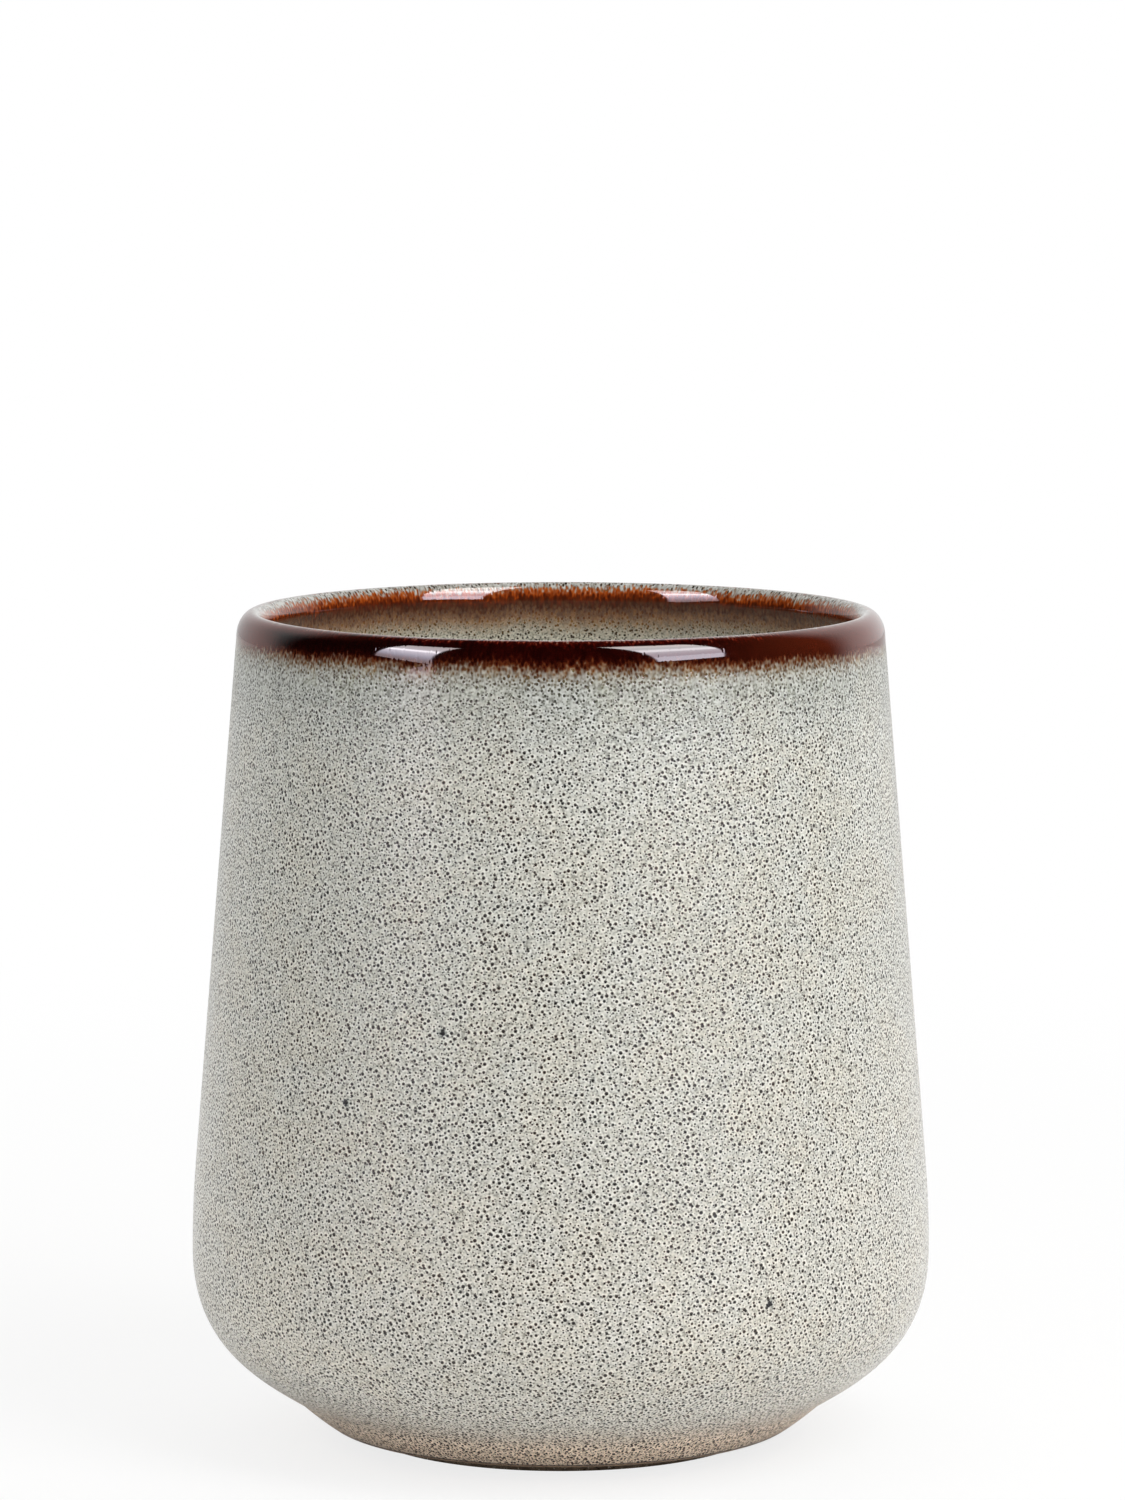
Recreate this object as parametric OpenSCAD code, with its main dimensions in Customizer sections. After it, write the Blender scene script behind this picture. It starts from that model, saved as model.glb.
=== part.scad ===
// Glazed stoneware toothbrush holder: an open tumbler with a tapered wall, a full belly low down,
// a short flared foot on a bare standing ring, and a brown band of glaze over the lip.
// Millimetres, +Z up. The standing ring's land is at z = 0 and the axis of the cup is the Z axis.

/* [Cup] */
// Height from the surface it stands on to the top of the lip
height = 102; // [90:1:125]
// Outer width at the top of the wall, where the lip begins
rim_d = 79.4; // [68:0.2:88]
// Outer width at the belly's widest place
belly_d = 91; // [84:0.2:104]
// Height of the belly's widest place
belly_z = 23; // [19:0.5:28]
// Distance over which the belly bends into the straight wall
belly_blend = 5.4; // [3:0.2:14]

/* [Wall] */
// Thickness of the glazed wall just below the lip
rim_wall = 3.6; // [2.8:0.1:5]
// Thickness of the glazed wall at the belly
belly_wall = 4.4; // [3.2:0.1:6]
// Thickness of the floor over the recess, both glazes included
floor_t = 5; // [3.5:0.1:8]
// Width of the flat middle of the floor inside
floor_flat_d = 44; // [34:1:50]

/* [Lip] */
// How far in from the outside of the wall the lip's crest lies
crest_inset = 2.1; // [1.4:0.1:2.5]
// Height of the outer round, from the wall to the crest
lip_outer_h = 3.1; // [1.6:0.1:5]
// Height of the inner round, from the crest to the inside wall
lip_inner_h = 2.4; // [1.4:0.1:5]

/* [Foot] */
// Width across the foot's lower edge
foot_d = 57; // [50:0.2:64]
// How much wider, on each side, the foot is where it meets the body
foot_flare = 4.7; // [3:0.1:6]
// Height of the foot from its lower edge to the body
foot_h = 3.7; // [2.6:0.1:4.6]
// Slope of the body where it meets the foot, in degrees from level
foot_slope = 33; // [26:1:42]
// How far the foot's side swells beyond a straight line
foot_swell = 0.1; // [0:0.05:0.3]
// Rounding of the foot's lower edge
foot_edge = 0.5; // [0.3:0.1:1]

/* [Standing ring] */
// Clear height under the foot's lower edge
ring_h = 1.4; // [0.9:0.1:2.4]
// How far in from the foot's lower edge the ring stands
ring_inset = 4.1; // [3:0.1:6]
// Width of the ring, from its outer wall to its inner wall
ring_w = 3.4; // [2.6:0.1:5]
// Sanded chamfer on the ring's two lower edges
ring_chamfer = 0.35; // [0.1:0.05:0.6]
// How much further up the recess reaches than the foot's lower edge
recess_rise = 0.9; // [0.6:0.1:2]
// Rounding in the corner of the recess
recess_round = 0.8; // [0.4:0.1:1.2]

/* [Glaze] */
// Thickness of every coat of glaze
glaze_t = 0.4; // [0.2:0.05:0.6]
// How far the brown band reaches down the wall below the lip's outer round
band_outside = 1.5; // [0.6:0.1:9]
// How far the brown band reaches down the inside below the lip's inner round
band_inside = 3.6; // [1:0.1:11]
// How far the coat turns under the foot's lower edge
glaze_turn = 0.7; // [0.3:0.1:1.2]
// Bare strip wiped clean above the land, inside the ring
wiped_h = 0.8; // [0.5:0.05:1]

/* [Hidden] */
$fn = 180;

// Facets along each bend of the outline
edge_steps = 4;
foot_steps = 6;
body_steps = 20;
blend_steps = 8;
lip_steps = 12;
floor_steps = 16;

// Handles of the curve from the foot to the belly, as shares of its rise and of its run
body_rise_share = 0.64;
body_run_share = 0.44;
// Handles of the curve from the inside wall to the floor, as shares of its drop and of its run
floor_drop_share = 0.66;
floor_run_share = 0.5;

rim_r = rim_d / 2;
belly_r = belly_d / 2;
foot_r = foot_d / 2;
crest_r = rim_r - crest_inset;
bore_r = rim_r - rim_wall;
floor_flat_r = floor_flat_d / 2;
recess_z = ring_h + recess_rise;
floor_z = recess_z + floor_t;
ring_outer_r = foot_r - ring_inset;
ring_inner_r = ring_outer_r - ring_w;

// Places on the outside of the glazed cup, from the foot up to the lip: [radius, height]
foot_low = [foot_r, ring_h];
foot_high = [foot_r + foot_flare, ring_h + foot_h];
belly = [belly_r, belly_z];
belly_corner = [belly_r, belly_z + belly_blend];
wall_top = [rim_r, height - lip_outer_h];
// Places on the inside, from the lip down to the middle of the floor
bore_top = [bore_r, height - lip_inner_h];
bore_low = [belly_r - belly_wall, belly_z + belly_blend];
floor_rim = [floor_flat_r, floor_z];

// The vector from one place to another, made one unit long
function heading(from, to) = (to - from) / norm(to - from);

// The place at a given height on the straight line between two places
function at_height(low, high, z) = low + (high - low) * (z - low[1]) / (high[1] - low[1]);

// Points along a curve with two handles, its ends included
function curve(start, handle_a, handle_b, end, steps) = [
    for (i = [0 : steps])
        let (t = i / steps, s = 1 - t)
            s * s * s * start + 3 * s * s * t * handle_a + 3 * s * t * t * handle_b + t * t * t * end
];

// Points along a rounded corner, its ends included
function corner(start, tip, end, steps) = [
    for (i = [0 : steps])
        let (t = i / steps, s = 1 - t)
            s * s * start + 2 * s * t * tip + t * t * end
];

// Points along a quarter of an ellipse, its ends included
function quarter(middle, half_width, half_height, from, steps) = [
    for (i = [0 : steps])
        let (angle = from + 90 * i / steps)
            middle + [half_width * cos(angle), half_height * sin(angle)]
];

// The points after the first, which ends the stretch before
function after(points) = [for (i = [1 : len(points) - 1]) points[i]];

// Heading of an outline at one of its points, from its two neighbours
function run_at(points, i) = heading(points[max(i - 1, 0)], points[min(i + 1, len(points) - 1)]);

// The same outline moved to its left, into the clay, by the thickness of a coat
function under_coat(points) = [
    for (i = [0 : len(points) - 1])
        let (run = run_at(points, i))
            points[i] + glaze_t * [-run[1], run[0]]
];

// The points from one position in a list to another, in either order
function stretch(points, from, to) = [for (i = [from : (to < from ? -1 : 1) : to]) points[i]];

foot_run = heading(foot_low, foot_high);
foot_tip = (foot_low + foot_high) / 2 + 2 * foot_swell * [foot_run[1], -foot_run[0]];
foot_edge_end = foot_low + foot_edge * heading(foot_low, foot_tip);
wall_run = heading(belly_corner, wall_top);
bore_run = heading(bore_low, bore_top);
body_run = [cos(foot_slope), sin(foot_slope)];

// Outside of the glazed cup from under the foot's edge to the brown band
outside = concat(
    [foot_low - [foot_edge + glaze_turn, 0]],
    corner(foot_low - [foot_edge, 0], foot_low, foot_edge_end, edge_steps),
    after(corner(foot_edge_end, foot_tip, foot_high, foot_steps)),
    after(curve(
        foot_high,
        foot_high + body_run * body_run_share * (belly[0] - foot_high[0]),
        belly - [0, body_rise_share * (belly[1] - foot_high[1])],
        belly,
        body_steps
    )),
    after(corner(belly, belly_corner, belly_corner + belly_blend * wall_run, blend_steps)),
    [at_height(belly_corner, wall_top, wall_top[1] - band_outside)]
);

// The brown band, up over the lip and down the inside
band = concat(
    quarter([crest_r, wall_top[1]], crest_inset, lip_outer_h, 0, lip_steps),
    after(quarter([crest_r, bore_top[1]], crest_r - bore_r, lip_inner_h, 90, lip_steps)),
    [at_height(bore_low, bore_top, bore_top[1] - band_inside)]
);

// Inside of the glazed cup from the brown band to the middle of the floor
inside = concat(
    curve(
        bore_low,
        bore_low - bore_run * floor_drop_share * (bore_low[1] - floor_z),
        floor_rim + [floor_run_share * (bore_low[0] - floor_flat_r), 0],
        floor_rim,
        floor_steps
    ),
    [[0, floor_z]]
);

// The recess under the floor, from its middle to the bare strip of the ring
recess = concat(
    [[0, recess_z]],
    corner(
        [ring_inner_r - recess_round, recess_z],
        [ring_inner_r, recess_z],
        [ring_inner_r, recess_z - recess_round],
        edge_steps
    ),
    [[ring_inner_r, wiped_h]]
);

// The whole glazed surface in one run, and the clay surface that lies under it
skin = concat(outside, band, inside);
clay_skin = under_coat(skin);
clay_recess = under_coat(recess);
band_start = len(outside) - 1;
band_end = band_start + len(band);
skin_end = len(skin) - 1;

// The bare standing ring, from its inner wall round the land to the underside of the foot
ring_bare_r = ring_inner_r + glaze_t;
foot_under_z = ring_h + glaze_t;
standing_ring = concat(
    [
        [ring_bare_r, ring_chamfer],
        [ring_bare_r + ring_chamfer, 0],
        [ring_outer_r - ring_chamfer, 0],
        [ring_outer_r, ring_chamfer]
    ],
    corner(
        [ring_outer_r, foot_under_z - ring_chamfer],
        [ring_outer_r, foot_under_z],
        [ring_outer_r + ring_chamfer, foot_under_z],
        edge_steps
    )
);

// A coat of glaze on one stretch of the glazed surface
module coat(surface, clay, from, to) {
    rotate_extrude()
        polygon(concat(stretch(surface, from, to), stretch(clay, to, from)));
}

// The fired clay cup, with its floor, recess and standing ring
module clay_body() {
    color("burlywood")
        rotate_extrude()
            polygon(concat(clay_skin, clay_recess, standing_ring));
}

// Speckled grey-green coat from the foot's edge to the brown band
module outer_glaze() {
    color("darkseagreen")
        coat(skin, clay_skin, 0, band_start);
}

// Brown band over the lip
module rim_glaze() {
    color("saddlebrown")
        coat(skin, clay_skin, band_start, band_end);
}

// Grey-green coat on the inside wall and the floor
module inner_glaze() {
    color("lightsteelblue")
        coat(skin, clay_skin, band_end, skin_end);
}

// Coat in the recess under the floor, inside the standing ring
module base_glaze() {
    color("darkkhaki")
        coat(recess, clay_recess, 0, len(recess) - 1);
}

clay_body();
outer_glaze();
rim_glaze();
inner_glaze();
base_glaze();
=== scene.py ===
import math

import bmesh
import bpy
from mathutils import Matrix, Vector, noise
from mathutils.geometry import interpolate_bezier


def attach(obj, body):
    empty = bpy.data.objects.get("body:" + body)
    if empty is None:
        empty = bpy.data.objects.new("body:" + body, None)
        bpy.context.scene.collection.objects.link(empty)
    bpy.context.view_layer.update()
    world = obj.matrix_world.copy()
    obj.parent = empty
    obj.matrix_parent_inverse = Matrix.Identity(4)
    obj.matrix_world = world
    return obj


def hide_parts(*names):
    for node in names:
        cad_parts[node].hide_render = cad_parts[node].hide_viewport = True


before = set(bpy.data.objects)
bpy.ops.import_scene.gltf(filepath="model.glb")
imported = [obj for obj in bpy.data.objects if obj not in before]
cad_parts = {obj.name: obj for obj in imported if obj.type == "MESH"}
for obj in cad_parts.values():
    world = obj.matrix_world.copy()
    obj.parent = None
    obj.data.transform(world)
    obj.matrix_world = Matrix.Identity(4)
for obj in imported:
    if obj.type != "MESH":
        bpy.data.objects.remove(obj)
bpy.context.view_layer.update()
print("frame loaded:", ", ".join(sorted(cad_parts)))

mm = 0.001
samePlace = 1e-7                  # places nearer to each other than this are one place


# The turned outline

cupShape = {
    "footLow": (28.5, 1.4),       # the foot's lower edge: radius and height, in millimetres
    "footHigh": (33.2, 5.1),      # where the foot meets the body
    "footSwell": 0.1,             # how far the foot's side swells beyond a straight line
    "footEdge": 0.5,              # rounding of the foot's lower edge
    "glazeTurn": 0.7,             # how far the coat turns under the foot
    "footSlope": 33,              # slope of the body above the foot, in degrees
    "belly": (45.5, 23),
    "bellyBlend": 5.4,
    "bodyRise": 0.64,             # handles of the curve from the foot to the belly, as shares of its rise
    "bodyRun": 0.44,              # and of its run
    "wallTop": (39.7, 98.9),
    "crestInset": 2.1,
    "crest": 102,
    "boreTop": (36.1, 99.6),
    "boreLow": (41.1, 28.4),
    "bandOutside": 1.5,           # the brown band's depth on the wall below the lip
    "bandInside": 3.6,
    "floorRim": (22, 7.3),
    "floorDrop": 0.66,            # handles of the curve from the inside wall to the floor, as shares
    "floorRun": 0.5,              # of its drop and of its run
    "recess": 2.3,                # height of the recess under the floor
    "recessRound": 0.8,
    "ringInner": 21,
    "ringOuter": 24.4,
    "ringChamfer": 0.35,
    "wiped": 0.8,                 # bare strip inside the ring
    "coat": 0.4,                  # thickness of every coat of glaze
}

stepCount = {                     # in how many steps each stretch of the outline is drawn
    "footEdge": 6,
    "foot": 10,
    "body": 36,
    "belly": 10,
    "wall": 24,
    "bandLow": 3,
    "lipOuter": 20,
    "lipInner": 18,
    "bandInside": 6,
    "bore": 24,
    "floorRound": 28,
    "floor": 10,
    "recess": 8,
    "recessRound": 6,
    "ringEdge": 3,
    "ringLand": 3,
    "ringTop": 4,
    "freeEdge": 5,
}


def place(radius, height):
    # a place on the outline, as a vertex in the XZ plane
    return Vector((radius * mm, 0, height * mm))


def spot(name):
    return place(*cupShape[name])


def heading(start, end):
    return (end - start).normalized()


def sweep(start, handleA, handleB, end, steps):
    return interpolate_bezier(start, handleA, handleB, end, steps + 1)


def bend(start, tip, end, steps):
    # a rounded corner, written with the two handles of a full curve
    return sweep(start, start.lerp(tip, 2 / 3), end.lerp(tip, 2 / 3), end, steps)


def quarter(middle, halfWidth, halfHeight, fromAngle, steps):
    # a quarter of an ellipse
    points = []
    for step in range(steps + 1):
        angle = math.radians(fromAngle + 90 * step / steps)
        reach = Vector((halfWidth * math.cos(angle), 0, halfHeight * math.sin(angle)))
        points.append(middle + reach * mm)
    return points


def straight(start, end, steps):
    return [start.lerp(end, step / steps) for step in range(steps + 1)]


def joined(*stretches):
    # stretches end to end, without the places that they share
    points = [stretches[0][0]]
    for stretch in stretches:
        points += [point for point in stretch if (point - points[-1]).length > samePlace]
    return points


def atHeight(low, high, height):
    return low.lerp(high, (height * mm - low.z) / (high.z - low.z))


def intoClay(points, depth):
    # the same outline, moved into the clay by the thickness of a coat
    moved = []
    for index, point in enumerate(points):
        run = heading(points[max(index - 1, 0)], points[min(index + 1, len(points) - 1)])
        moved.append(point + depth * mm * Vector((-run.z, 0, run.x)))
    return moved


s = cupShape
footLow = spot("footLow")
footHigh = spot("footHigh")
belly = spot("belly")
wallTop = spot("wallTop")
boreTop = spot("boreTop")
boreLow = spot("boreLow")
floorRim = spot("floorRim")

footRun = heading(footLow, footHigh)
footOut = Vector((footRun.z, 0, -footRun.x))
footTip = (footLow + footHigh) / 2 + 2 * s["footSwell"] * mm * footOut
footEdgeEnd = footLow + s["footEdge"] * mm * heading(footLow, footTip)
footIn = place(s["footEdge"], 0)
slope = math.radians(s["footSlope"])
bodyRun = Vector((math.cos(slope), 0, math.sin(slope)))
bodyRise = place(0, s["bodyRise"] * (s["belly"][1] - s["footHigh"][1]))
bellyCorner = belly + place(0, s["bellyBlend"])
wallRun = heading(bellyCorner, wallTop)
wallStart = bellyCorner + s["bellyBlend"] * mm * wallRun
boreRun = heading(boreLow, boreTop)

outside = joined(
    [footLow - footIn - place(s["glazeTurn"], 0)],
    bend(footLow - footIn, footLow, footEdgeEnd, stepCount["footEdge"]),
    bend(footEdgeEnd, footTip, footHigh, stepCount["foot"]),
    sweep(
        footHigh,
        footHigh + bodyRun * s["bodyRun"] * (belly.x - footHigh.x),
        belly - bodyRise,
        belly,
        stepCount["body"],
    ),
    bend(belly, bellyCorner, wallStart, stepCount["belly"]),
    straight(wallStart, atHeight(wallStart, wallTop, s["wallTop"][1] - s["bandOutside"]), stepCount["wall"]),
)
crestRadius = s["wallTop"][0] - s["crestInset"]
lip = joined(
    straight(outside[-1], wallTop, stepCount["bandLow"]),
    quarter(
        place(crestRadius, s["wallTop"][1]),
        s["crestInset"],
        s["crest"] - s["wallTop"][1],
        0,
        stepCount["lipOuter"],
    ),
    quarter(
        place(crestRadius, s["boreTop"][1]),
        crestRadius - s["boreTop"][0],
        s["crest"] - s["boreTop"][1],
        90,
        stepCount["lipInner"],
    ),
    straight(boreTop, atHeight(boreLow, boreTop, s["boreTop"][1] - s["bandInside"]), stepCount["bandInside"]),
)
inside = joined(
    straight(lip[-1], boreLow, stepCount["bore"]),
    sweep(
        boreLow,
        boreLow - boreRun * s["floorDrop"] * (boreLow.z - floorRim.z),
        floorRim + Vector((s["floorRun"] * (boreLow.x - floorRim.x), 0, 0)),
        floorRim,
        stepCount["floorRound"],
    ),
    straight(floorRim, place(0, s["floorRim"][1]), stepCount["floor"]),
)
recess = joined(
    straight(
        place(0, s["recess"]),
        place(s["ringInner"] - s["recessRound"], s["recess"]),
        stepCount["recess"],
    ),
    bend(
        place(s["ringInner"] - s["recessRound"], s["recess"]),
        place(s["ringInner"], s["recess"]),
        place(s["ringInner"], s["recess"] - s["recessRound"]),
        stepCount["recessRound"],
    ),
    [place(s["ringInner"], s["wiped"])],
)

skin = joined(outside, lip, inside)
claySkin = intoClay(skin, s["coat"])
clayRecess = intoClay(recess, s["coat"])
bandStart = len(outside) - 1
bandEnd = bandStart + len(lip) - 1
crestIndex = max(range(len(skin)), key=lambda index: skin[index].z)


# Where each place on the outline reads the glaze's pattern

glazeFlow = {
    "lipRun": 0.5,                # how much a pattern shrinks along the lip, which draws it out in streaks
    "wallRun": 1.0,
    "streakFrom": 2.5,            # millimetres from the crest where the streaks are longest
    "streakTo": 8.0,              # and where they have gone
    "lipRadius": 39.7,            # the pattern keeps this radius over the lip and down the inside,
    "lipEnd": 4.2,                # from this far below the crest outside
    "lipFloor": 40.0,             # down to where the inside is as wide again, above this height
    "footRun": 0.62,              # near the foot the glaze has run, so its dots are longer
    "footFrom": 88.0,             # millimetres from the crest where that starts
    "footTo": 103.0,              # and where it is whole
    "closingRadius": 36.0,        # inside this radius the pattern is drawn in
    "recessDrop": 30.0,           # the recess reads the pattern this far below its own place
    "recessAlong": -150.0,        # and counts as this far from the crest, which is past the liner
}


def easing(value, start, end):
    t = min(max((value - start) / (end - start), 0), 1)
    return t * t * (3 - 2 * t)


def alongOf(points, zero):
    # distance from the crest, in millimetres: above zero outside, below zero inside
    reach = [0.0]
    for before, after in zip(points, points[1:]):
        reach.append(reach[-1] + (after - before).length / mm)
    return [reach[zero] - value for value in reach]


def flowOf(points, along):
    # radius and height at which each place reads the pattern, so that its grain keeps its size
    g = glazeFlow
    radius, height = points[0].x, points[0].z
    flow = [(radius, height)]
    for index in range(1, len(points)):
        step = (points[index] - points[index - 1]).length
        change = points[index].x - points[index - 1].x
        away = abs(along[index])
        run = g["lipRun"] + (g["wallRun"] - g["lipRun"]) * easing(away, g["streakFrom"], g["streakTo"])
        narrow = points[index].x < g["lipRadius"] * mm and points[index].z > g["lipFloor"] * mm
        if along[index] < g["lipEnd"] and narrow:
            change = 0
        ran = 1 - (1 - g["footRun"]) * easing(along[index], g["footFrom"], g["footTo"])
        change *= ran
        run *= ran
        radius += change
        height += math.sqrt(max((run * step) ** 2 - change ** 2, 0))
        flow.append((radius, height))
    # drawn in where the pot is narrow, so that the pattern closes at the middle of the floor
    left = radius
    wide = g["closingRadius"] * mm
    closing = []
    for point, (radius, height) in zip(points, flow):
        closing.append((radius - left * (1 - min(point.x / wide, 1)), height))
    return closing


skinAlong = alongOf(skin, crestIndex)
skinFlow = flowOf(skin, skinAlong)
recessFlow = [(point.x, point.z - glazeFlow["recessDrop"] * mm) for point in recess]
print("outline:", len(skin), "places on the glazed surface")


# Turning a section about the axis

turning = {
    "steps": 240,
    "mergeDistance": 1e-6,
    "axisDistance": 1e-9,         # a vertex nearer to the axis than this is on it
}


def turned(section, along, flow, closed):
    # spins a section about the axis and keeps where each ring of vertices reads the pattern
    bm = bmesh.new()
    layers = [bm.verts.layers.float.new(key) for key in ("along", "flowRadius", "flowHeight")]
    ring = []
    for point, distance, reading in zip(section, along, flow):
        vert = bm.verts.new(point)
        for layer, value in zip(layers, (distance, *reading)):
            vert[layer] = value
        ring.append(vert)
    pairs = list(zip(ring, ring[1:]))
    if closed:
        pairs.append((ring[-1], ring[0]))
    edges = [bm.edges.new(pair) for pair in pairs]
    bmesh.ops.spin(
        bm,
        geom=ring + edges,
        cent=(0, 0, 0),
        axis=(0, 0, 1),
        angle=2 * math.pi,
        steps=turning["steps"],
        use_merge=True,
    )
    bmesh.ops.remove_doubles(bm, verts=bm.verts, dist=turning["mergeDistance"])
    bmesh.ops.recalc_face_normals(bm, faces=bm.faces)
    return bm


def finished(bm, name, body, node, sharpAngle=32):
    # makes the object, with its pattern's place in one attribute
    distance = bm.verts.layers.float["along"]
    flowRadius = bm.verts.layers.float["flowRadius"]
    flowHeight = bm.verts.layers.float["flowHeight"]
    flow = bm.verts.layers.float_vector.new("flow")
    for vert in bm.verts:
        out = Vector((vert.co.x, vert.co.y, 0))
        out = out.normalized() if out.length > turning["axisDistance"] else Vector((1, 0, 0))
        vert[flow] = out * vert[flowRadius] + Vector((0, 0, vert[flowHeight]))
    for face in bm.faces:
        face.smooth = True
    mesh = bpy.data.meshes.new(name)
    bm.to_mesh(mesh)
    bm.free()
    mesh.set_sharp_from_angle(angle=math.radians(sharpAngle))
    piece = bpy.data.objects.new(name, mesh)
    bpy.context.scene.collection.objects.link(piece)
    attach(piece, body)
    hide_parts(node)
    print(name + ":", len(mesh.polygons), "faces")
    return piece


def coatSection(surface, under, along, flow):
    # out along the surface and back along the clay
    return (
        list(surface) + list(reversed(under)),
        list(along) + list(reversed(along)),
        list(flow) + list(reversed(flow)),
    )


# The fired clay: wall, floor, foot, recess and the bare ring it stands on

ringLand = {
    "chamfer": s["ringChamfer"],
    "inner": s["ringInner"] + s["coat"],
    "outer": s["ringOuter"],
    "under": s["footLow"][1] + s["coat"],
}


def standingRing():
    r = ringLand
    chamfer = r["chamfer"]
    edge = stepCount["ringEdge"]
    return joined(
        [place(r["inner"], chamfer)],
        bend(place(r["inner"], chamfer), place(r["inner"], 0), place(r["inner"] + chamfer, 0), edge),
        straight(place(r["inner"] + chamfer, 0), place(r["outer"] - chamfer, 0), stepCount["ringLand"]),
        bend(place(r["outer"] - chamfer, 0), place(r["outer"], 0), place(r["outer"], chamfer), edge),
        bend(
            place(r["outer"], r["under"] - chamfer),
            place(r["outer"], r["under"]),
            place(r["outer"] + chamfer, r["under"]),
            stepCount["ringTop"],
        ),
    )


clayPoints = joined(clayRecess, standingRing(), claySkin)
clayAlong = [0.0] * len(clayPoints)
clayFlow = [(point.x, point.z) for point in clayPoints]
clayMesh = turned(clayPoints, clayAlong, clayFlow, closed=False)
stonewareCup = finished(clayMesh, "stonewareCup", "root", "clay_body", sharpAngle=50)


# The speckled coat on the outside, with its free edge under the foot

speckledEdge = {
    "round": 0.4,                 # the free edge rolls over to the clay in this width
    "wander": 0.14,               # how far the edge strays from a true circle
    "waves": 9.0,                 # strays around the foot
    "strayFrom": 0.45,            # millimetres in from the foot's edge where the coat starts to stray
    "strayTo": 1.1,               # and where it strays wholly
    "strayBelow": 2.0,            # only what is turned under the foot strays
}

straying = {
    "slow": 0.5,                  # shares of an edge's waves in its slow and in its quick strays
    "quick": 1.7,
    "quickShare": 0.5,
}


def rolledEnd(surface, under, width):
    # a quarter round from the surface to the clay in place of a square end
    inward = heading(surface[0], surface[1])
    start = surface[0] + inward * width * mm
    return bend(start, surface[0], under[0], stepCount["freeEdge"])


def strayed(bm, edge, inReach, direction):
    # lets a free edge wander a little, as a wiped or dipped edge does
    for vert in bm.verts:
        share = inReach(vert.co)
        if share > 0:
            out = Vector((vert.co.x, vert.co.y, 0)).normalized()
            slow = noise.noise(out * edge["waves"] * straying["slow"])
            quick = noise.noise(out * edge["waves"] * straying["quick"])
            wave = slow + straying["quickShare"] * quick
            vert.co += direction(out) * wave * edge["wander"] * mm * share


def underFoot(co):
    # how much of the straying there is at a place on the speckled coat
    if co.z >= speckledEdge["strayBelow"] * mm:
        return 0
    inward = cupShape["footLow"][0] * mm - Vector((co.x, co.y)).length
    return easing(inward, speckledEdge["strayFrom"] * mm, speckledEdge["strayTo"] * mm)


surface, under = skin[: bandStart + 1], claySkin[: bandStart + 1]
end = rolledEnd(surface, under, speckledEdge["round"])
surface = list(reversed(end))[1:] + surface[1:]
surfaceAlong = [skinAlong[0]] * (len(end) - 1) + skinAlong[1: bandStart + 1]
surfaceFlow = [skinFlow[0]] * (len(end) - 1) + skinFlow[1: bandStart + 1]
section = surface + list(reversed(under[1:]))
sectionAlong = surfaceAlong + list(reversed(skinAlong[1: bandStart + 1]))
sectionFlow = surfaceFlow + list(reversed(skinFlow[1: bandStart + 1]))
outerMesh = turned(section, sectionAlong, sectionFlow, closed=True)
strayed(outerMesh, speckledEdge, underFoot, lambda out: out)
speckledCoat = finished(outerMesh, "speckledCoat", "root", "outer_glaze")


# The brown band over the lip

section, sectionAlong, sectionFlow = coatSection(
    skin[bandStart: bandEnd + 1],
    claySkin[bandStart: bandEnd + 1],
    skinAlong[bandStart: bandEnd + 1],
    skinFlow[bandStart: bandEnd + 1],
)
bandMesh = turned(section, sectionAlong, sectionFlow, closed=True)
brownBand = finished(bandMesh, "brownBand", "root", "rim_glaze")


# The liner: inside wall and floor, which end on the axis

section, sectionAlong, sectionFlow = coatSection(
    list(reversed(skin[bandEnd:])),
    list(reversed(claySkin[bandEnd:])),
    list(reversed(skinAlong[bandEnd:])),
    list(reversed(skinFlow[bandEnd:])),
)
linerMesh = turned(section, sectionAlong, sectionFlow, closed=False)
linerCoat = finished(linerMesh, "linerCoat", "root", "inner_glaze")


# The coat in the recess, wiped clean above the land

baseEdge = {
    "round": 0.4,
    "wander": 0.12,
    "waves": 7.0,
    "strayBelow": 1.3,            # the coat strays below this height
    "strayDepth": 0.5,            # and wholly this much further down
}


def aboveRing(co):
    # how much of the straying there is at a place on the recess's coat
    return easing(baseEdge["strayBelow"] * mm - co.z, 0, baseEdge["strayDepth"] * mm)


recessBack = list(reversed(recess))
clayBack = list(reversed(clayRecess))
end = rolledEnd(recessBack, clayBack, baseEdge["round"])
surface = list(reversed(recessBack[1:])) + end
backFlow = list(reversed(recessFlow))
surfaceFlow = list(reversed(backFlow[1:])) + [backFlow[0]] * len(end)
section = surface + clayBack[1:]
sectionFlow = surfaceFlow + backFlow[1:]
sectionAlong = [glazeFlow["recessAlong"]] * len(section)
baseMesh = turned(section, sectionAlong, sectionFlow, closed=False)
strayed(baseMesh, baseEdge, aboveRing, lambda out: Vector((0, 0, 1)))
baseCoat = finished(baseMesh, "baseCoat", "root", "base_glaze")


# Shader sums and nodes

class Wire:
    # one output of a node, which takes part in plain sums

    def __init__(self, tree, socket):
        self.tree = tree
        self.socket = socket

    def __add__(self, other):
        return self.tree.sum("ADD", self, other)

    def __radd__(self, other):
        return self.tree.sum("ADD", other, self)

    def __sub__(self, other):
        return self.tree.sum("SUBTRACT", self, other)

    def __rsub__(self, other):
        return self.tree.sum("SUBTRACT", other, self)

    def __mul__(self, other):
        return self.tree.sum("MULTIPLY", self, other)

    def __truediv__(self, other):
        return self.tree.sum("DIVIDE", self, other)


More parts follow.
